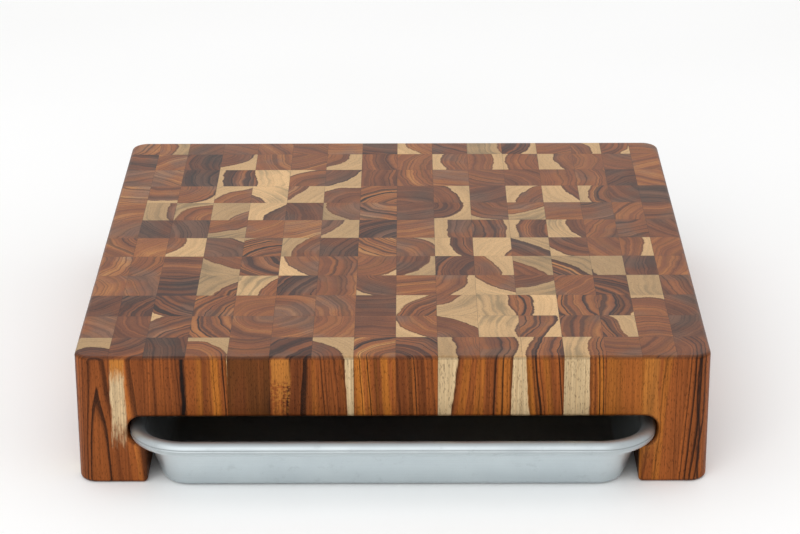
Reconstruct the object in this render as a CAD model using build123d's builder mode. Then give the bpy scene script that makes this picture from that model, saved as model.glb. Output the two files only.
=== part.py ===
"""End-grain chopping board on two runners, with two rolled-rim trays that slide in under its slab.

The slab and the runners are glued up from upright blocks of wood, in rows from front to back.
A round-ended groove along each runner carries the rolled rims of a front tray and a rear tray.
X runs across the front, Y from front to back and Z up. The origin is on the table, under the centre.
"""

import os
from math import cos, radians, sin, sqrt, tan

from build123d import *

# Driving dimensions, in millimetres.
board_width = 406.4
board_depth = 406.4
board_height = 88.9
slab_thickness = 42.3
runner_width = 44.45
corner_radius = 12.0  # the board's four upright corners
edge_radius = 2.8  # every other outside edge, and the noses of the groove ledges

groove_height = 19.0  # its ends are half round
groove_depth = 12.0  # into each runner

row_count = 12  # rows of blocks, from front to back
front_row_depth = 31.2
back_row_depth = 27.2
slab_block_count = 12  # in each row, from left to right
last_slab_block_width = 22.7  # the block beside the right runner
runner_block_count = 2  # in each row of a runner

tray_depth = 228.0  # front to back, over the rim
tray_overhang = 26.5  # the rim stands out this far in front of the board
tray_corner_radius = 38.0  # over the rim
tray_side_play = 1.0  # between the rim and the end of the groove
rim_clearance = 0.3  # between the rim and the groove where it rests
tray_floor_height = 0.6  # underside of the tray above the table
sheet_thickness = 1.0
wall_draft = 20.0  # degrees from upright
bend_radius = 6.5  # outside, where the wall turns into the floor
roll_radius = 4.85  # outside of the rolled edge
rim_wire_radius = 2.5
wire_clearance = 0.3  # between the wire and the roll that it lies in

# Places that follow from the sizes above.
bay_width = board_width - 2 * runner_width
slab_underside = board_height - slab_thickness
middle_row_depth = (board_depth - front_row_depth - back_row_depth) / (row_count - 2)
row_depths = [front_row_depth] + [middle_row_depth] * (row_count - 2) + [back_row_depth]
slab_block_width = (bay_width - last_slab_block_width) / (slab_block_count - 1)
slab_widths = [slab_block_width] * (slab_block_count - 1) + [last_slab_block_width]
runner_widths = [runner_width / runner_block_count] * runner_block_count

groove_radius = groove_height / 2
groove_centre_x = bay_width / 2 + groove_depth - groove_radius
groove_centre_z = slab_underside - groove_radius
bay_overcut = 1.0  # the bay is cut this far past the end faces

tray_width = bay_width + 2 * (groove_depth - tray_side_play)
tray_y = tray_depth / 2 - tray_overhang - board_depth / 2
rim_reach = max(0.0, tray_width / 2 - roll_radius - groove_centre_x)
rim_drop = sqrt((groove_radius - roll_radius - rim_clearance) ** 2 - rim_reach**2)
roll_height = groove_centre_z - rim_drop
wire_drop = roll_radius - sheet_thickness - rim_wire_radius - wire_clearance


def spans(start, widths):
    """Blocks of these widths laid side by side from start, as (low, high) pairs."""
    edges = [start]
    for width in widths:
        edges.append(edges[-1] + width)
    return list(zip(edges[:-1], edges[1:]))


def cut_out(body, x_span, y_span):
    """The piece of a body between two upright planes across X and two across Y."""
    with BuildPart() as piece:
        with Locations((sum(x_span) / 2, sum(y_span) / 2, board_height / 2)):
            Box(x_span[1] - x_span[0], y_span[1] - y_span[0], board_height)
        add(body, mode=Mode.INTERSECT)
    return piece.part


def export_row(name, row, x_spans, y_span):
    """A row of separate upright blocks, as one node."""
    blocks = [cut_out(row, x_span, y_span) for x_span in x_spans]
    export_step(Compound(label=name, children=blocks), f"parts/{name}.step")


def rim_path(height):
    """The line round the tray that the centre of the roll stands over."""
    with BuildSketch(Plane((0, tray_y, height))) as loop:
        RectangleRounded(
            tray_width - 2 * roll_radius,
            tray_depth - 2 * roll_radius,
            tray_corner_radius - roll_radius,
        )
    return loop.sketch.face().outer_wire()


def plane_across(path):
    """A plane across the start of the path, with its x pointing out of the tray and its y up."""
    start = path @ 0
    out = (path % 0).cross(Vector(0, 0, 1))
    if out.dot(start - Vector(0, tray_y, start.Z)) < 0:
        out = -out
    return Plane(origin=start, x_dir=out, z_dir=out.cross(Vector(0, 0, 1)))


def inner_face_points():
    """The tray's inner face in that plane: the top of the wall, its foot, and a point on the floor."""
    draft = radians(wall_draft)
    floor = tray_floor_height + sheet_thickness - roll_height
    top = Vector(-roll_radius * cos(draft), roll_radius * sin(draft))
    foot = Vector(top.X - (top.Y - floor) * tan(draft), floor)
    return top, foot, foot - Vector(bend_radius, 0)


os.makedirs("parts", exist_ok=True)

# The finished wooden body, before it is parted into its blocks.
with BuildPart() as body:
    with BuildSketch():
        RectangleRounded(board_width, board_depth, corner_radius)
    extrude(amount=board_height)
    with BuildSketch(Plane.XZ):
        with Locations((0, slab_underside / 2)):
            Rectangle(bay_width, slab_underside)
        with Locations((0, groove_centre_z)):
            SlotOverall(bay_width + 2 * groove_depth, groove_height)
    extrude(amount=board_depth / 2 + bay_overcut, both=True, mode=Mode.SUBTRACT)
    end_faces = body.faces().filter_by(Axis.Y).group_by(Axis.Y)
    level_faces = body.faces().filter_by(Axis.Z).group_by(Axis.Z)
    ledge_noses = (
        body.edges()
        .filter_by(Axis.Y)
        .filter_by_position(Axis.Z, groove_centre_z - groove_height, groove_centre_z)
        .group_by(lambda edge: round(abs(edge.center().X), 3))[0]
    )
    round_edges = end_faces[0].edges() + end_faces[-1].edges() + ledge_noses
    round_edges += level_faces[0].edges() + level_faces[-1].edges()
    fillet(set(round_edges), radius=edge_radius)

left, front = -board_width / 2, -board_depth / 2
columns = {
    "left_runner": spans(left, runner_widths),
    "slab": spans(left + runner_width, slab_widths),
    "right_runner": spans(-left - runner_width, runner_widths),
}
for number, y_span in enumerate(spans(front, row_depths), start=1):
    row = cut_out(body.part, (left, -left), y_span)
    for place, x_spans in columns.items():
        export_row(f"{place}_row_{number:02d}", row, x_spans, y_span)

# The front tray: one drawn sheet, with its edge rolled outwards over a wire.
path = rim_path(roll_height)
top, foot, floor_point = inner_face_points()
with BuildPart() as front_pan:
    with BuildSketch(plane_across(path)):
        with BuildLine():
            Polyline(top, foot, floor_point)
            fillet(vertices().sort_by_distance(foot)[0], radius=bend_radius - sheet_thickness)
            offset(amount=sheet_thickness, side=Side.LEFT)
        make_face()
        Circle(roll_radius)
        Circle(roll_radius - sheet_thickness, mode=Mode.SUBTRACT)
    sweep(path=path)
    floor_inset = roll_radius - floor_point.X
    with BuildSketch(Plane((0, tray_y, tray_floor_height))):
        RectangleRounded(
            tray_width - 2 * floor_inset,
            tray_depth - 2 * floor_inset,
            tray_corner_radius - floor_inset,
        )
    extrude(amount=sheet_thickness)

wire_path = rim_path(roll_height - wire_drop)
with BuildPart() as front_wire:
    with BuildSketch(plane_across(wire_path)):
        Circle(rim_wire_radius)
    sweep(path=wire_path)

# The rear tray is the same tray turned round, under the back half of the board.
with BuildPart() as rear_pan:
    add(front_pan.part.rotate(Axis.Z, 180))

with BuildPart() as rear_wire:
    add(front_wire.part.rotate(Axis.Z, 180))

trays = {
    "front_tray_pan": front_pan,
    "front_tray_rim_wire": front_wire,
    "rear_tray_pan": rear_pan,
    "rear_tray_rim_wire": rear_wire,
}
for name, piece in trays.items():
    piece.part.label = name
    export_step(piece.part, f"parts/{name}.step")
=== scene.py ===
import random
from math import cos, pi, radians, sin, tan

import bmesh
import bpy
from mathutils import Matrix, Vector, noise


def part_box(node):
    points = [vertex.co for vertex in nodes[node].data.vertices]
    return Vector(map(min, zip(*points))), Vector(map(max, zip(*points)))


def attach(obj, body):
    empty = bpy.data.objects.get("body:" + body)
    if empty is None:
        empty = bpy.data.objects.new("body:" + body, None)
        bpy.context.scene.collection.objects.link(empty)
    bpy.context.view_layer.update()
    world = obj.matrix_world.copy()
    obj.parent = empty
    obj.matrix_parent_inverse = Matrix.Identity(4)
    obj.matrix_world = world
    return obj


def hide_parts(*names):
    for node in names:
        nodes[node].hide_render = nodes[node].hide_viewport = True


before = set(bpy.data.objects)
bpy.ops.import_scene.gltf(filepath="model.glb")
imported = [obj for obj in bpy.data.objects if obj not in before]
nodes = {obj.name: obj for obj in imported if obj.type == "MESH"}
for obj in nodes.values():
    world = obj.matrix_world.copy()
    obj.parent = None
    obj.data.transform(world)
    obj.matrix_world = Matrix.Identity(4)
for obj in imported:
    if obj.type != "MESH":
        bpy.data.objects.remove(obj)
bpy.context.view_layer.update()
mm = 0.001
print("frame loaded:", len(nodes), "nodes")


class Socket:  # one output of a shader node; Python's operators on it add Math nodes
    def __init__(self, graph, end):
        self.graph = graph
        self.end = end

    def math(self, operation, *others):
        return self.graph.math(operation, self, *others)

    def __add__(self, other):
        return self.math("ADD", other)

    def __sub__(self, other):
        return self.math("SUBTRACT", other)

    def __mul__(self, other):
        return self.math("MULTIPLY", other)

    def __truediv__(self, other):
        return self.math("DIVIDE", other)

    def __pow__(self, other):
        return self.math("POWER", other)

    def __rsub__(self, other):
        return self.graph.math("SUBTRACT", other, self)

    __radd__ = __add__
    __rmul__ = __mul__


class Graph:  # the node tree of one new material
    def __init__(self, name):
        self.material = bpy.data.materials.new(name)
        self.material.use_nodes = True
        self.tree = self.material.node_tree
        self.tree.nodes.clear()

    def node(self, kind, settings=None, inputs=None, out=0):
        made = self.tree.nodes.new(kind)
        for name, value in (settings or {}).items():
            if name == "stops":
                self.setStops(made.color_ramp, value)
            else:
                setattr(made, name, value)
        for name, value in (inputs or {}).items():
            if isinstance(value, Socket):
                self.tree.links.new(value.end, made.inputs[name])
            else:
                made.inputs[name].default_value = value
        if isinstance(out, tuple):
            return [Socket(self, made.outputs[each]) for each in out]
        return Socket(self, made.outputs[out])

    def setStops(self, ramp, stops):
        while len(ramp.elements) < len(stops):
            ramp.elements.new(0.5)
        for element, (position, code) in zip(ramp.elements, stops):
            element.position = position
            element.color = colour(code)

    def math(self, operation, *values):
        return self.node("ShaderNodeMath", {"operation": operation}, dict(enumerate(values)))

    def objectPlace(self):
        return self.node("ShaderNodeTexCoord", out="Object")

    def placeInMm(self):
        return self.times(self.objectPlace(), 1 / mm)

    def attribute(self, name):
        return self.node("ShaderNodeAttribute", {"attribute_name": name}, out="Vector")

    def split(self, vector):
        return self.node("ShaderNodeSeparateXYZ", {}, {0: vector}, out=(0, 1, 2))

    def join(self, x, y, z):
        return self.node("ShaderNodeCombineXYZ", {}, {0: x, 1: y, 2: z})

    def noise(self, place, scale, detail=2.0, rough=0.5, out="Fac"):
        inputs = {"Vector": place, "Scale": scale, "Detail": detail, "Roughness": rough}
        return self.node("ShaderNodeTexNoise", {}, inputs, out)

    def noiseAlong(self, w, detail=1.0):  # noise that changes with one number
        inputs = {"W": w, "Scale": 1.0, "Detail": detail}
        return self.node("ShaderNodeTexNoise", {"noise_dimensions": "1D"}, inputs)

    def smooth(self, value, low, high):  # 0 on the low side of low, 1 past high
        settings = {"interpolation_type": "SMOOTHSTEP"}
        inputs = {"Value": value, "From Min": low, "From Max": high}
        return self.node("ShaderNodeMapRange", settings, inputs)

    def ramp(self, value, stops):
        return self.node("ShaderNodeValToRGB", {"stops": stops}, {"Fac": value}, out="Color")

    def mix(self, share, one, other, blend="MIX"):
        settings = {"data_type": "RGBA", "blend_type": blend}
        return self.node("ShaderNodeMix", settings, {0: share, 6: one, 7: other}, out=2)

    def times(self, vector, factor):  # a colour made lighter or darker, or a place scaled
        inputs = {0: vector, "Scale": factor}
        return self.node("ShaderNodeVectorMath", {"operation": "SCALE"}, inputs)

    def bump(self, height, strength, distance):
        inputs = {"Strength": strength, "Distance": distance, "Height": height}
        return self.node("ShaderNodeBump", {}, inputs)

    def finish(self, inputs):
        shader = self.node("ShaderNodeBsdfPrincipled", {}, inputs)
        self.node("ShaderNodeOutputMaterial", {}, {"Surface": shader}, out=())
        return self.material


def colour(code):  # a shader colour from the hex code of a screen colour
    parts = [int(code[i:i + 2], 16) / 255 for i in (1, 3, 5)]
    return tuple(p / 12.92 if p < 0.04045 else ((p + 0.055) / 1.055) ** 2.4 for p in parts) + (1.0,)


def shadeSmooth(bm, sharpest):  # edges sharper than this angle, in degrees, stay hard
    for face in bm.faces:
        face.smooth = True
    for edge in bm.edges:
        edge.smooth = len(edge.link_faces) == 2 and edge.calc_face_angle(0.0) < radians(sharpest)


def finishPiece(bm, name, material):
    mesh = bpy.data.meshes.new(name)
    bm.to_mesh(mesh)
    bm.free()
    piece = bpy.data.objects.new(name, mesh)
    bpy.context.scene.collection.objects.link(piece)
    mesh.materials.append(material)
    return piece


wood = {
    "heart": [(0.0, "#30170d"), (0.2, "#562d18"), (0.4, "#744125"), (0.6, "#8d512b"),
              (0.8, "#a76a38"), (1.0, "#bf8a50")],  # by how light the wood is
    "smoky": [(0.0, "#2b211c"), (0.4, "#5a4538"), (0.7, "#795d4e"), (1.0, "#987c66")],
    "smokyShare": 0.65,  # of the greyer colours, where the end grain is smoky
    "line": "#1b0f0b",  # the near-black rings
    "broad": "#38211b",  # the dark bands
    "gold": "#a96c2e",  # the golden bands
    "warm": "#fff2cc",  # makes the heartwood more orange on the sides
    "sap": "#cfa877",
    "sapSide": "#bfa680",  # drier and paler on the sides
    "sapRing": "#a67f52",
    "sapStain": "#7f6e50",
    "stainShare": 0.75,
    "topZ": 88.9,  # mm; leaning grain is in its own place at this height
    "alongGrain": 0.16,  # how fast patterns change along the grain, against across it
    "wander": 12.0,  # how widely rings stray from circles, mm
    "ripple": 1.1,  # how widely they ripple, mm
    "unevenness": 2.2,  # in years, how far the rings' widths vary
    "ringsClear": (3.0, 15.0),  # rings fade in between these distances from the pith, mm
    "streakShare": 0.88,
    "frontY": (-196.0, -200.0),  # mm; streaks fade in between these, so only the front has them
    "sidePaintedLight": 1.08,  # painted light: the sides are made brighter than the end grain
    "edgeDark": 0.3,  # how much darker the rounded edges are
    # painted shade on the front face, over the bays:
    "bayPaintedShade": 0.16,  # the slab darkens towards its lower front edge,
    "bayZ": (62.0, 46.0),  # between these heights, mm,
    "bayX": (168.0, 150.0),  # and at these distances from the middle, mm
    "poreDark": 0.4,
    "glueDark": 0.4,
    "glueWidth": 0.16,  # mm
    "roughness": 0.42,
    "ior": 1.2,  # low, which keeps the sides deep in colour
    "coat": (0.26, 0.35),  # weight and roughness on the end grain
    "bump": (0.35, 0.00012),  # strength, and distance in m
}


def woodMaterial(look):
    g = Graph("oiledEndGrain")
    x, y, z = g.split(g.placeInMm())
    pithX, pithY, spacing = g.split(g.attribute("pith"))
    sapLine, tone, seed = g.split(g.attribute("figure"))
    leanX, leanY, lined = g.split(g.attribute("lean"))
    lowX, lowY, bright = g.split(g.attribute("blockLow"))
    highX, highY, streakTone = g.split(g.attribute("blockHigh"))
    streakX, streakHalf, streakFoot = g.split(g.attribute("streak"))
    stained = g.split(g.attribute("sapwood"))[0]
    up = g.split(g.node("ShaderNodeTexCoord", out="Normal"))[2].math("ABSOLUTE")
    endGrain = g.smooth(up, 0.5, 0.9)  # 1 on the top and the underside
    sideGrain = 1.0 - endGrain

    # The grain runs upright, so every pattern changes only slowly along z.
    # The seed moves each block to another place in the noise, whose scales are per mm.
    upGrain = z * look["alongGrain"]
    stick = g.join(x + seed * 311.0, y - seed * 173.0, upGrain)
    fibreX, fibreY = x + seed * 97.0, y + seed * 59.0
    fibre = g.join(fibreX, fibreY, upGrain)
    strayX, strayY, strayZ = g.split(g.noise(stick, 0.034, 2.0, 0.45, out="Color"))
    rippleX, rippleY, _ = g.split(g.noise(stick, 0.22, 1.0, 0.5, out="Color"))
    aboveTop = z - look["topZ"]
    wander, ripple = look["wander"], look["ripple"]
    acrossX = x - pithX + leanX * aboveTop + (strayX - 0.5) * wander + (rippleX - 0.5) * ripple
    acrossY = y - pithY + leanY * aboveTop + (strayY - 0.5) * wander + (rippleY - 0.5) * ripple
    radius = (acrossX * acrossX + acrossY * acrossY) ** 0.5
    grit = g.noise(fibre, 0.9, 1.0, 0.6)

    # Yearly rings of uneven width, each with its own shade, in broader darker and lighter bands.
    years = radius / spacing + g.noiseAlong(radius * 0.13 + seed * 41.0) * look["unevenness"]
    year = years.math("FLOOR")
    phase = years - year
    yearSeed = {"W": year * 1.37 + seed * 53.0}
    luck = g.node("ShaderNodeTexWhiteNoise", {"noise_dimensions": "1D"}, yearSeed, out="Value")
    late = g.smooth(phase, 0.35, 0.93) * (1.0 - g.smooth(phase, 0.93, 1.0))
    band = g.noiseAlong(radius * 0.1 + seed * 19.0)
    cloud = g.noise(stick, 0.035, 2.0)
    clear = g.smooth(radius, *look["ringsClear"])
    rings = (luck - 0.5) * 0.16 + (band - 0.5) * (lined * 0.45 + 0.35) - late * 0.1
    light = (tone - 0.5) * (endGrain * 0.75 + 0.25) + 0.5  # blocks differ less on the sides
    light = light + rings * clear + (cloud - 0.5) * (endGrain * 0.25 + 0.15)
    heart = g.ramp(light, look["heart"])
    smoke = g.smooth(g.noise(stick, 0.026, 2.0, 0.5) + (0.5 - tone) * 0.3, 0.47, 0.66)
    smoke = smoke * endGrain * look["smokyShare"]
    heart = g.mix(smoke, heart, g.ramp(light, look["smoky"]))
    golden = g.smooth(g.noiseAlong(radius * 0.12 + seed * 31.0), 0.45, 0.62)
    golden = golden * g.smooth(tone, 0.38, 0.62) * (0.7 - endGrain * 0.5)
    heart = g.mix(golden, heart, colour(look["gold"]))

    # Dark bands, and near-black rings alone and in groups.
    broad = g.smooth(g.noiseAlong(radius * 0.17 + seed * 13.0), 0.5, 0.64)
    broad = broad * g.smooth(lined, 0.75, 1.0) * clear * (endGrain * 0.6 + 0.1)
    heart = g.mix(broad, heart, colour(look["broad"]))
    group = g.smooth(g.noiseAlong(radius * 0.11 + seed * 7.0), 0.38, 0.56)
    inky = g.smooth(phase, 0.5, 0.8) * (1.0 - g.smooth(phase, 0.88, 1.0)) * g.smooth(luck, 0.25, 0.6)
    inky = inky * (group * 0.75 + 0.25) * (1.3 - endGrain * 0.3) * lined * clear
    heart = g.mix(inky.math("MINIMUM", 0.92), heart, colour(look["line"]))

    # Pale sapwood outside the heartwood, with a dark line where they meet.
    ragged = g.noise(g.join(x, y, z * 0.05), 0.35, 2.0) - 0.5
    past = radius - sapLine + ragged * 1.6 + (grit - 0.5) * 1.2
    sapShare = g.smooth(past, -0.25, 0.45)
    border = g.smooth(past, -2.2, -0.5) * (1.0 - sapShare)
    heart = g.mix(border * 0.45, heart, colour(look["line"]))
    heart = g.mix(sideGrain, heart, colour(look["warm"]), "MULTIPLY")
    sap = g.mix(endGrain, colour(look["sapSide"]), colour(look["sap"]))
    sap = g.mix(late * 0.2 + luck * 0.14, sap, colour(look["sapRing"]))
    streaky = g.noiseAlong(radius * 0.24 + seed * 23.0, 2.0) * 0.5 + strayZ * 0.5
    stain = g.smooth(streaky, 0.42, 0.66) * g.smooth(past, 1.0, 5.0)
    stain = stain * stained * (endGrain * 0.7 + 0.3) * look["stainShare"]
    sap = g.mix(stain, sap, colour(look["sapStain"]))
    sap = g.times(sap, bright * endGrain + sideGrain)
    base = g.mix(sapShare, heart, sap)

    # Upright streaks that show on the front face alone, pale or golden or black by their tone.
    wobble = (g.noise(g.join(x, y, z * 0.4), 0.06, 2.0) - 0.5) * 7.0 + (grit - 0.5) * 1.6
    aside = (x - streakX + wobble).math("ABSOLUTE")
    streak = 1.0 - g.smooth(aside, streakHalf - 0.9, streakHalf + 0.9)
    streak = streak * g.smooth(z + (grit - 0.5) * 26.0, streakFoot - 13.0, streakFoot + 13.0)
    streak = streak * g.smooth(y, *look["frontY"]) * (1.0 - g.smooth(up, 0.25, 0.7))
    short = g.smooth(streakFoot, 40.0, 50.0)
    patches = g.smooth(g.noise(g.join(x, y, z * 1.6), 0.3, 3.0, 0.6), 0.44, 0.56)
    bare = short * (1.0 - g.smooth(z, 68.0, 75.0)) * (1.0 - patches)  # short ones end in patches
    streak = streak * (1.0 - bare)
    gilt = g.smooth(z + (grit - 0.5) * 16.0, 70.0, 83.0)  # pale ones turn golden towards the top
    gilt = gilt.math("MAXIMUM", g.smooth(streakTone, 0.8, 0.6))
    pale = g.mix(gilt, colour(look["sapSide"]), colour(look["gold"]))
    base = g.mix(streak * g.smooth(streakTone, 0.0, 0.7) * look["streakShare"], base, pale)
    base = g.mix(streak * g.smooth(streakTone, 0.0, -1.0), base, colour(look["line"]))

    # Pores and fibres: specks on the end grain, fine upright lines on the sides.
    specks = g.smooth(g.noise(fibre, 1.15, 1.0, 0.6), 0.6, 0.78)
    dashes = g.smooth(g.noise(g.join(fibreX, fibreY, z * 0.22), 1.6, 1.0, 0.6), 0.56, 0.68)
    pores = specks * endGrain + dashes * sideGrain
    fibres = g.noise(g.join(x, y, z * 0.012), 0.9, 3.0, 0.65)
    mottle = g.noise(g.join(x, y, z), 0.018, 1.0)
    shade = (fibres - 0.5) * (1.3 - endGrain * 0.6) + (mottle - 0.5) * 0.3 + 1.0
    shade = shade * (1.0 - pores * look["poreDark"])
    # Painted light: the sides are made brighter than the end grain.
    shade = shade * (look["sidePaintedLight"] - endGrain * (look["sidePaintedLight"] - 1.0))
    # Painted shade: the front face darkens towards the slab's lower edge over the bays.
    paintedBayShade = g.smooth(z, *look["bayZ"]) * g.smooth(x.math("ABSOLUTE"), *look["bayX"]) * sideGrain
    shade = shade * (1.0 - paintedBayShade * look["bayPaintedShade"])
    rounded = g.smooth(up, 0.1, 0.45) * (1.0 - g.smooth(up, 0.8, 0.98))
    shade = shade * (1.0 - rounded * look["edgeDark"])

    # The hairline of glue round each block.
    gapX = (x - lowX).math("MINIMUM", highX - x)
    gapY = (y - lowY).math("MINIMUM", highY - y)
    glueWidth = look["glueWidth"]
    glue = 1.0 - g.smooth(gapX.math("MINIMUM", gapY), glueWidth * 0.4, glueWidth * 1.6)
    base = g.times(base, shade * (1.0 - glue * look["glueDark"]))

    height = fibres * 0.4 - pores * 0.8 - glue * 0.6 + late * 0.3
    coat, coatRoughness = look["coat"]
    return g.finish({
        "Base Color": base,
        "Roughness": look["roughness"] + pores * 0.2 + (mottle - 0.5) * 0.14,
        "Normal": g.bump(height, *look["bump"]),
        "IOR": look["ior"],
        "Coat Weight": endGrain * coat,
        "Coat Roughness": coatRoughness,
    })


blocks = {
    "rows": 12,
    "slabBlocks": 12,
    "lastSlabBlock": 22.7,  # mm; the other blocks of the slab share its width evenly
    "runnerBlocks": 2,
    "wideRing": 3.4,  # mm, from one ring to the next
    "ringSpread": (0.8, 1.35),  # and how this varies
    "pithReach": (28, 90),  # mm, from the middle of a block to the centre of its rings
    "shade": (0.44, 0.62),  # where on the ramp of heartwood colours a block lies
    "darker": 0.2,  # steps on that ramp
    "lighter": 0.14,
    "linedShare": (0.25, 0.7),  # how strong the black rings are where they aren't at their strongest
    "stainedShare": (0.25, 0.9),  # without and with a stain
    "sapLight": (0.88, 1.06),
    "duller": 0.22,
    "brighter": 0.14,
    "lean": 0.05,  # most lean of the grain, in mm for each mm of height
    "chance": 0.05,  # most chance difference in shade
    # (row from the front, column from the left): the side on which the block turns pale, in degrees
    # from +x, how far from its middle it does so, and the radius of the rings there, both in mm
    "pale": {
        (1, 0): (95, 0, 28), (1, 3): (50, 5.5, 28), (1, 6): (35, 1, 30), (1, 9): (190, 3.8, 120),
        (1, 10): (0, 9.5, 80), (1, 11): (173, 8.6, 150), (1, 12): (171, -2.2, 90),
        (2, 2): (135, 16.2, 90), (2, 8): (215, 7, 60), (2, 9): (48, 7, 60), (2, 10): (172, -10.5, 70),
        (2, 11): (345, 7.5, 70), (2, 13): (18, 1.2, 80),
        (3, 2): (225, 16.2, 90), (3, 8): (145, 7, 60), (3, 9): (315, -8.5, 60), (3, 10): (190, -8, 70),
        (3, 11): (0, -2.2, 60), (3, 13): (355, 11.5, 90), (3, 14): (80, 12, 30),
        (4, 3): (145, -6, 50), (4, 4): (160, -4.5, 50), (4, 7): (228, 15.5, 60), (4, 9): (335, 5, 60),
        (4, 10): (222, 2, 60), (4, 11): (300, 0, 70), (4, 14): (180, -12, 60),
        (5, 3): (230, 0.5, 60), (5, 5): (205, 4.5, 45), (5, 7): (322, 13.5, 60), (5, 8): (328, 6, 40),
        (5, 10): (15, 2.5, 50), (5, 11): (42, -2, 60), (5, 12): (42, 1, 60), (5, 13): (20, -12, 60),
        (6, 2): (343, -4, 60), (6, 3): (50, 16, 40), (6, 4): (120, 17, 50), (6, 5): (158, 3.5, 50),
        (6, 8): (40, 13.5, 40), (6, 9): (195, 1.5, 60), (6, 10): (150, -15, 60), (6, 11): (45, 5.5, 60),
        (6, 12): (222, 13, 40), (6, 14): (0, 5.6, 80),
        (7, 3): (303, 3.4, 50), (7, 6): (333, -1, 50), (7, 9): (180, 5, 80), (7, 10): (0, 11.5, 80),
        (7, 11): (180, 8.5, 80), (7, 12): (192, -1.5, 60),
        (8, 1): (182, -5.5, 60), (8, 2): (142, 6, 30), (8, 3): (140, -10, 60), (8, 4): (153, -1, 45),
        (8, 6): (208, 6.5, 50), (8, 9): (330, 4.3, 30), (8, 10): (232, 13.5, 50), (8, 11): (302, 1, 60),
        (9, 1): (265, 13, 40), (9, 2): (320, 12, 35), (9, 3): (135, 4.5, 60), (9, 4): (40, -9, 50),
        (9, 5): (335, -3, 60), (9, 6): (125, 10.5, 35), (9, 9): (25, 4.5, 35), (9, 11): (148, 3.5, 50),
        (9, 12): (200, -4.5, 60), (9, 13): (180, 5.3, 50),
        (10, 3): (183, 9.3, 80), (10, 4): (10, -10, 60), (10, 5): (130, 12.5, 40), (10, 6): (328, 4.5, 60),
        (11, 3): (308, 4, 30), (11, 6): (327, -1.5, 40), (11, 9): (180, 6.5, 80), (11, 10): (0, 6.5, 80),
        (11, 11): (180, 10.4, 80), (11, 12): (190, -0.5, 60),
        (12, 1): (0, 2, 50), (12, 8): (207, 2.5, 60), (12, 10): (185, -10, 60), (12, 11): (343, 7, 60),
        (12, 13): (22, 0, 60), (12, 14): (335, 7.5, 60),
    },
    # heartwood blocks whose ring centre lies close by: its direction, opposite, and its distance in mm
    "ringed": {
        (1, 7): (135, 25), (1, 8): (50, 30), (2, 3): (203, 43.6), (2, 4): (233, 21.6),
        (2, 5): (308, 22), (2, 6): (337, 43.6), (3, 3): (157, 43.6), (3, 4): (128, 21.6),
        (3, 5): (52, 22), (3, 6): (23, 43.6),
    },
    # by row, the columns of the blocks that are darker, lighter and strongly lined, and of those
    # whose sapwood is duller, brighter and stained
    "dark": {
        1: (0, 1, 2, 5, 15), 2: (1, 7), 3: (0, 1, 7), 4: (2, 5, 7), 5: (9, 14), 6: (6,),
        7: (1, 2, 7), 8: (5, 8), 9: (8, 14, 15), 10: (2, 7, 14), 11: (0, 2, 7), 12: (7, 11),
    },
    "light": {
        1: (3, 7), 2: (6,), 3: (6,), 4: (0, 1, 8), 5: (0, 1, 15), 6: (0, 1, 7, 14, 15),
        7: (0, 3, 5, 8), 8: (0, 7, 12), 9: (0, 7), 10: (1, 8, 9), 11: (1, 5), 12: (0, 1, 6),
    },
    "lined": {
        1: (0, 5, 7, 8, 11, 12), 2: (2, 3, 11, 12, 13), 3: (1, 2, 3, 8, 11, 12, 13),
        4: (2, 3, 5, 13), 5: (4, 9, 12), 6: (4, 7, 9), 7: (7, 10), 8: (7, 9), 9: (7, 13),
        10: (2, 3), 12: (11,),
    },
    "dull": {
        1: (0, 3, 6, 9, 13), 4: (3, 11, 14), 5: (3, 8, 11, 12, 13), 6: (3, 4, 5, 8, 11),
        7: (3, 6), 8: (1, 2, 3, 6, 10, 11), 12: (1, 10),
    },
    "bright": {2: (11,), 3: (11, 12), 5: (5,), 6: (2, 10), 8: (4,), 9: (4,), 10: (4,)},
    "stained": {
        1: (12,), 2: (10,), 3: (9, 10), 4: (3, 4, 10, 11, 14), 5: (3, 8, 11, 12),
        6: (5, 8, 11), 7: (3, 12), 8: (1, 2, 6, 11), 9: (3, 4), 10: (4,), 12: (1, 10),
    },
    "leaning": {(1, 9): (-0.13, 0.0)},  # how far the grain leans in x and y for each mm of height
    # streaks on the front face: middle, half width and foot in mm, and from -1, black, to 1, pale
    "streaks": {
        (1, 1): (-175.8, 4.6, 36.0, 0.9), (1, 2): (-134.4, 1.5, -20.0, -1.0),
        (1, 5): (-71.5, 5.5, 54.0, 0.6), (1, 14): (165.5, 4.5, 25.0, 0.4),
        (1, 15): (196.0, 0.9, -20.0, -0.8),
    },
    "noStreak": (0.0, -9.0, 0.0, 0.0),
    "inside": 0.2,  # mm behind a face, to tell which block it belongs to
    "weld": 0.001,  # mm
    "sharpest": 32,  # degrees
}


def spansOf(low, high, count, last=None):  # blocks side by side, as (low, high) pairs in mm
    each = (high - low) / count if last is None else (high - low - last) / (count - 1)
    edges = [low + each * i for i in range(count)] + [high]
    return list(zip(edges[:-1], edges[1:]))


def spanOf(node, axis):  # how far a node of the CAD model reaches along x (0) or y (1), in mm
    low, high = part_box(node)
    return low[axis] / mm, high[axis] / mm


rowNumbers = range(1, blocks["rows"] + 1)
rowSpans = [spanOf(f"slab_row_{row:02d}", 1) for row in rowNumbers]
outer = spanOf("left_runner_row_02", 0)[0], spanOf("right_runner_row_02", 0)[1]
inner = spanOf("slab_row_02", 0)
columnSpans = spansOf(outer[0], inner[0], blocks["runnerBlocks"])
columnSpans += spansOf(inner[0], inner[1], blocks["slabBlocks"], blocks["lastSlabBlock"])
columnSpans += spansOf(inner[1], outer[1], blocks["runnerBlocks"])
farOff = 1000.0  # mm, beyond the board


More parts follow.
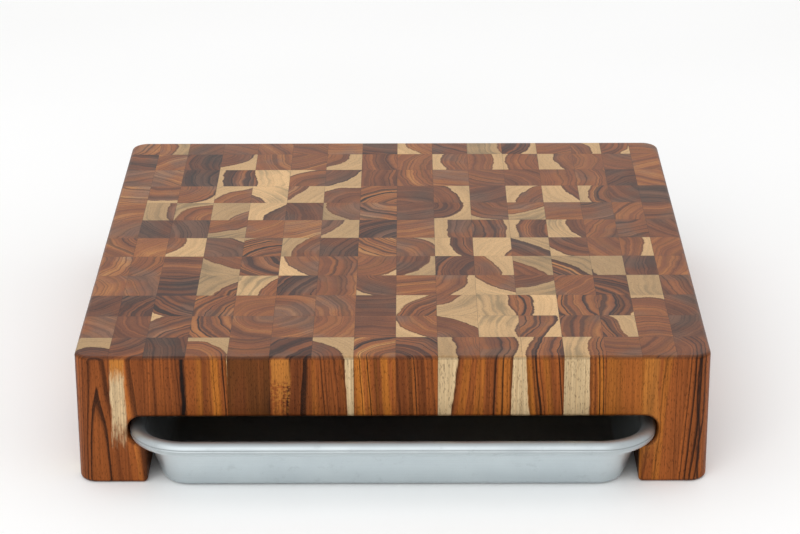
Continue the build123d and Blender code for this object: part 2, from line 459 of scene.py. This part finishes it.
def figureOf(row, column):  # what the wood's material reads about one block
    def listed(kind):
        return column in blocks[kind].get(row, ())

    key = (row, column)
    spanX, spanY = columnSpans[column], rowSpans[row - 1]
    middle = Vector((sum(spanX) / 2, sum(spanY) / 2))

    # Rows 2 and 3, 4 and 5 and so on were sawn from one strip and lie as mirror images.
    strip = random.Random(row // 2 * 100 + column)
    angle, reach = strip.uniform(0, 360), strip.uniform(*blocks["pithReach"])
    shade, spread = strip.uniform(*blocks["shade"]), strip.uniform(*blocks["ringSpread"])
    if row % 2:
        angle = -angle
    sapLine = farOff
    if key in blocks["ringed"]:
        angle, reach = blocks["ringed"][key]
    if key in blocks["pale"]:
        angle, offset, sapLine = blocks["pale"][key]
        reach = sapLine - offset
    side = Vector((cos(radians(angle)), sin(radians(angle))))
    shade += blocks["lighter"] * listed("light") - blocks["darker"] * listed("dark")

    own = random.Random(row * 100 + column)
    lined = 1.0 if listed("lined") else own.uniform(*blocks["linedShare"])
    bright = own.uniform(*blocks["sapLight"])
    bright += blocks["brighter"] * listed("bright") - blocks["duller"] * listed("dull")
    seed, lean, chance = own.random(), blocks["lean"], blocks["chance"]
    leaning = own.uniform(-lean, lean), own.uniform(-lean, lean)
    shade += own.uniform(-chance, chance)
    *streak, streakTone = blocks["streaks"].get(key, blocks["noStreak"])
    lowX = spanX[0] if column > 0 else -farOff
    highX = spanX[1] if column < len(columnSpans) - 1 else farOff
    lowY = spanY[0] if row > 1 else -farOff
    highY = spanY[1] if row < blocks["rows"] else farOff
    return {
        "pith": (*(middle - side * reach), blocks["wideRing"] * spread),
        "figure": (sapLine, shade, seed),
        "lean": (*blocks["leaning"].get(key, leaning), lined),
        "blockLow": (lowX, lowY, bright),  # no glue on the outside of the board
        "blockHigh": (highX, highY, streakTone),
        "streak": streak,
        "sapwood": (blocks["stainedShare"][listed("stained")], 0.0, 0.0),
    }


def woodRow(node, row, columns, material):  # the CAD row, parted into its blocks
    bm = bmesh.new()
    bm.from_mesh(nodes[node].data)
    bm.normal_update()
    newLayer = bm.verts.layers.float_vector.new
    layers = {key: newLayer(key) for key in figureOf(row, columns[0])}
    groups = {column: [] for column in columns}
    for face in bm.faces:
        inside = (face.calc_center_median() - face.normal * blocks["inside"] * mm).x / mm
        column = next(c for c in columns if inside < columnSpans[c][1] or c == columns[-1])
        groups[column].append(face)
    for column, faces in groups.items():
        verts = list({vert for face in faces for vert in face.verts})
        values = figureOf(row, column)
        for vert in verts:
            for key, layer in layers.items():
                vert[layer] = values[key]
        bmesh.ops.remove_doubles(bm, verts=verts, dist=blocks["weld"] * mm)
    shadeSmooth(bm, blocks["sharpest"])
    return finishPiece(bm, node.replace("_row_", "Row").replace("_r", "R"), material)


woodLook = woodMaterial(wood)
slabStart = blocks["runnerBlocks"]
slabEnd = slabStart + blocks["slabBlocks"]
columnsOf = {
    "left_runner": range(slabStart),
    "slab": range(slabStart, slabEnd),
    "right_runner": range(slabEnd, len(columnSpans)),
}
for place, columns in columnsOf.items():
    for row in rowNumbers:
        node = f"{place}_row_{row:02d}"
        piece = woodRow(node, row, columns, woodLook)
        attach(piece, "board")
        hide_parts(node)
print("wood done:", len(columnsOf) * len(rowNumbers), "rows of blocks")


tray = {
    "sheet": 1.0,  # mm, as every length here
    "roll": 4.85,  # outside radius of the rolled edge
    "rollTurn": 292,  # degrees that the edge is rolled through
    "corner": 38.0,  # over the rim
    "draft": 20.0,  # degrees
    "bend": 6.5,  # outside, at the foot of the wall
    "floorRim": 9.0,  # flat strip beside the bend
    "crease": 0.32,  # depth of the line pressed along the outside of the roll
    "creaseAt": 7.0,  # degrees above the middle of the roll
    "creaseHalf": 0.13,  # radians
    "creaseRoom": 0.2,  # radians to each side, where finer steps take over:
    "creaseSteps": 4,  # so many to each side,
    "creaseStep": 2.5,  # of so many degrees
    "dent": 0.2,
    "dentScale": 0.035,  # per mm
    "rollSteps": 36,
    "bendSteps": 8,
    "wallSteps": 7,
    "cornerSteps": 16,
    "sideStep": 9,
    "weld": 0.01,
    "sharpest": 40,  # degrees
}


def panProfile(look, floor):  # the sheet's inner face and the roll, as (out, up) from the roll's centre
    draft, inside = radians(look["draft"]), look["bend"] - look["sheet"]
    start, turn = pi - draft, -radians(look["rollTurn"])
    crease = radians(look["creaseAt"])
    angles = [start + turn * i / look["rollSteps"] for i in range(look["rollSteps"] + 1)]
    angles = [angle for angle in angles if abs(angle - crease) > look["creaseRoom"]]
    fine = look["creaseSteps"]
    angles += [crease + radians(i * look["creaseStep"]) for i in range(-fine, fine + 1)]
    roll = []
    for angle in sorted(angles, reverse=True):
        pressed = max(0.0, 1 - abs(angle - crease) / look["creaseHalf"])
        roll.append((look["roll"] - look["crease"] * pressed) * Vector((cos(angle), sin(angle))))
    foot = Vector((roll[0].x - (roll[0].y - floor) * tan(draft), floor))
    bendTurn = pi / 2 - draft
    centre = foot + Vector((-inside * tan(bendTurn / 2), inside))
    angles = [-pi / 2 + bendTurn * i / look["bendSteps"] for i in range(look["bendSteps"] + 1)]
    bend = [centre + inside * Vector((cos(angle), sin(angle))) for angle in angles]
    wall = [bend[-1].lerp(roll[0], i / look["wallSteps"]) for i in range(1, look["wallSteps"])]
    return [bend[0] - Vector((look["floorRim"], 0))] + bend + wall + roll


def sweepRound(bm, edges, centre, half, look):  # round the tray from the right end of the front side
    for side in range(4):
        corner = centre + Vector((half.x * (1, 1, -1, -1)[side], half.y * (-1, 1, 1, -1)[side], 0))
        made = bmesh.ops.spin(bm, geom=edges, cent=corner, axis=(0, 0, 1), angle=pi / 2,
                              steps=look["cornerSteps"])
        edges = [item for item in made["geom_last"] if isinstance(item, bmesh.types.BMEdge)]
        length = 2 * (half.y if side % 2 == 0 else half.x)
        count = round(length / look["sideStep"])
        along = Matrix.Rotation(pi / 2 * side, 3, "Z") @ Vector((0, length / count, 0))
        for _ in range(count):
            made = bmesh.ops.extrude_edge_only(bm, edges=edges)
            new = [item for item in made["geom"] if isinstance(item, bmesh.types.BMVert)]
            bmesh.ops.translate(bm, verts=new, vec=along)
            edges = [item for item in made["geom"] if isinstance(item, bmesh.types.BMEdge)
                     and all(vert in new for vert in item.verts)]


def trayPan(name, node, look, material):  # worked in mm, and scaled at the end
    low, high = (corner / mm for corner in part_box(node))
    centre = Vector(((low.x + high.x) / 2, (low.y + high.y) / 2, high.z - look["roll"]))
    half = Vector((high.x - centre.x - look["corner"], high.y - centre.y - look["corner"]))
    start = centre + Vector((half.x, -half.y - look["corner"] + look["roll"], 0))
    bm = bmesh.new()
    profile = panProfile(look, low.z + look["sheet"] - centre.z)
    verts = [bm.verts.new(start + Vector((0, -point.x, point.y))) for point in profile]
    edges = [bm.edges.new(pair) for pair in zip(verts[:-1], verts[1:])]
    sweepRound(bm, edges, centre, half, look)
    bmesh.ops.remove_doubles(bm, verts=bm.verts, dist=look["weld"])

    holeY = start.y - profile[0].x - 1  # just in front of the hole left in the floor
    hole = [edge for edge in bm.edges if edge.is_boundary
            and all(vert.co.z < low.z + 2 and vert.co.y > holeY for vert in edge.verts)]
    floor = bmesh.ops.contextual_create(bm, geom=hole)["faces"][0]
    bmesh.ops.recalc_face_normals(bm, faces=bm.faces)
    floor.normal_update()
    if floor.normal.z < 0:
        bmesh.ops.reverse_faces(bm, faces=bm.faces)
    bm.normal_update()
    for vert in bm.verts:  # faint dents from use
        place = vert.co * look["dentScale"] + Vector((low.y, 0, 0))
        vert.co -= vert.normal * abs(noise.noise(place)) * look["dent"]
    bmesh.ops.solidify(bm, geom=bm.faces[:], thickness=look["sheet"])
    bmesh.ops.scale(bm, verts=bm.verts, vec=(mm, mm, mm))
    bm.normal_update()
    shadeSmooth(bm, look["sharpest"])
    return finishPiece(bm, name, material)


metal = {
    "bright": "#d9e1e3",
    "dull": "#c6cfd3",
    "roughness": 0.42,
    "rollZ": (31.0, 34.5),  # mm, where the roll is: it is made rougher, and darker with painted shade that tones down its highlight
    "rollPaintedShade": 0.25,
    "rollRough": 0.08,
    "footZ": (20.0, 3.0),  # mm; and the foot of the wall is darker, a painted shade
    "footPaintedShade": 0.16,
    "creaseZ": (35.3, 0.4),  # height and half width of the painted shade in the crease, mm
    "creasePaintedShade": 0.22,
    "bump": (0.25, 0.0001),  # strength, and distance in m
}


def trayMaterial(look):
    g = Graph("satinAluminium")
    place = g.placeInMm()
    x, y, z = g.split(place)
    clouds = g.noise(place, 0.03, 3.0, 0.55)
    grain = g.noise(place, 1.3, 3.0, 0.6)
    drawn = g.noise(g.join(x * 0.02, y * 0.02, z * 1.6), 1.0, 2.0, 0.5)
    scuffs = g.smooth(g.noise(place, 0.11, 4.0, 0.65), 0.56, 0.74)
    base = g.mix(clouds, colour(look["bright"]), colour(look["dull"]))
    base = g.times(base, (grain - 0.5) * 0.1 + (drawn - 0.5) * 0.08 + 1.0 - scuffs * 0.08)
    # Painted shade: the roll is darkened to tone down its highlight, and the foot of the wall is darkened.
    roll, foot = g.smooth(z, *look["rollZ"]), g.smooth(z, *look["footZ"])
    paintedShade = 1.0 - roll * look["rollPaintedShade"] - foot * look["footPaintedShade"]
    # Painted shade along the pressed crease.
    creaseZ, creaseHalf = look["creaseZ"]
    creaseShade = 1.0 - g.smooth((z - creaseZ).math("ABSOLUTE"), creaseHalf * 0.5, creaseHalf * 1.5)
    base = g.times(base, paintedShade * (1.0 - creaseShade * look["creasePaintedShade"]))
    rough = look["roughness"] + roll * look["rollRough"] + (clouds - 0.5) * 0.16
    rough = rough + scuffs * 0.1 + (grain - 0.5) * 0.06
    height = grain * 0.4 + clouds * 2.0 + drawn * 0.3
    return g.finish({
        "Base Color": base,
        "Metallic": 1.0,
        "Roughness": rough,
        "Normal": g.bump(height, *look["bump"]),
    })


galvanised = {
    "bright": "#9ba1a6",
    "dull": "#6f767c",
    "roughness": 0.3,
    "roughSpread": 0.3,
}


def wireMaterial(look):
    g = Graph("galvanisedWire")
    spangle = g.noise(g.placeInMm(), 0.5, 3.0, 0.6)
    return g.finish({
        "Base Color": g.mix(spangle, colour(look["bright"]), colour(look["dull"])),
        "Metallic": 1.0,
        "Roughness": spangle * look["roughSpread"] + look["roughness"],
    })


trayLook = trayMaterial(metal)
wireLook = wireMaterial(galvanised)
for side in ("front", "rear"):
    pan = trayPan(f"{side}TrayPan", f"{side}_tray_pan", tray, trayLook)
    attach(pan, f"{side}_tray")
    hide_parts(f"{side}_tray_pan")
    wire = nodes[f"{side}_tray_rim_wire"]  # the CAD's own wire, in its place inside the roll
    wire.material_slots[0].material = wireLook
print("trays done")


studio = {
    "floor": "#ffffff",
    "floorDull": "#fafaf9",
    "floorSize": 8.0,  # m
    "world": 0.86,
    "key": (85.0, (-1.0, -3.6, 2.5), 4.0),  # watts, place and size in m
    "keyAim": (0, 0, 0.04),  # m
}


def areaLight(name, aim, watts, place, size):
    lamp = bpy.data.lights.new(name, "AREA")
    lamp.energy = watts
    lamp.size = size
    lightObject = bpy.data.objects.new(name, lamp)
    lightObject.location = place
    lightObject.rotation_euler = (Vector(aim) - Vector(place)).to_track_quat("-Z", "Y").to_euler()
    bpy.context.scene.collection.objects.link(lightObject)


def floorMaterial(look):
    g = Graph("paleFloor")
    tint = g.noise(g.objectPlace(), 3.0, 1.0)
    base = g.mix(tint, colour(look["floor"]), colour(look["floorDull"]))
    return g.finish({"Base Color": base, "Roughness": 0.9})


bm = bmesh.new()
bmesh.ops.create_grid(bm, x_segments=1, y_segments=1, size=studio["floorSize"] / 2)
finishPiece(bm, "floor", floorMaterial(studio))
areaLight("keyLight", studio["keyAim"], *studio["key"])
world = bpy.data.worlds.new("studio")
world.use_nodes = True
background = world.node_tree.nodes["Background"]
background.inputs["Color"].default_value = (1.0, 1.0, 1.0, 1.0)
background.inputs["Strength"].default_value = studio["world"]
bpy.context.scene.world = world
bpy.context.scene.view_settings.view_transform = "Standard"

view = {  # fitted to the edges of the board in the photo
    "place": (9.902, -1715.45, 770.359),  # mm
    "down": 22.285,  # degrees
    "turn": 0.186,
    "roll": -0.195,
    "lens": 117.62,  # mm
    "sensor": 36.0,  # mm wide
    "farthest": 20.0,  # m
}
lens = bpy.data.cameras.new("camera")
lens.lens = view["lens"]
lens.sensor_width = view["sensor"]
lens.clip_end = view["farthest"]
camera = bpy.data.objects.new("camera", lens)
camera.location = Vector(view["place"]) * mm
turned = Matrix.Rotation(radians(view["turn"]), 3, "Z")
tilted = turned @ Matrix.Rotation(radians(90 - view["down"]), 3, "X")
camera.rotation_euler = (tilted @ Matrix.Rotation(radians(view["roll"]), 3, "Z")).to_euler()
bpy.context.scene.collection.objects.link(camera)
bpy.context.scene.camera = camera
print("studio and camera done")
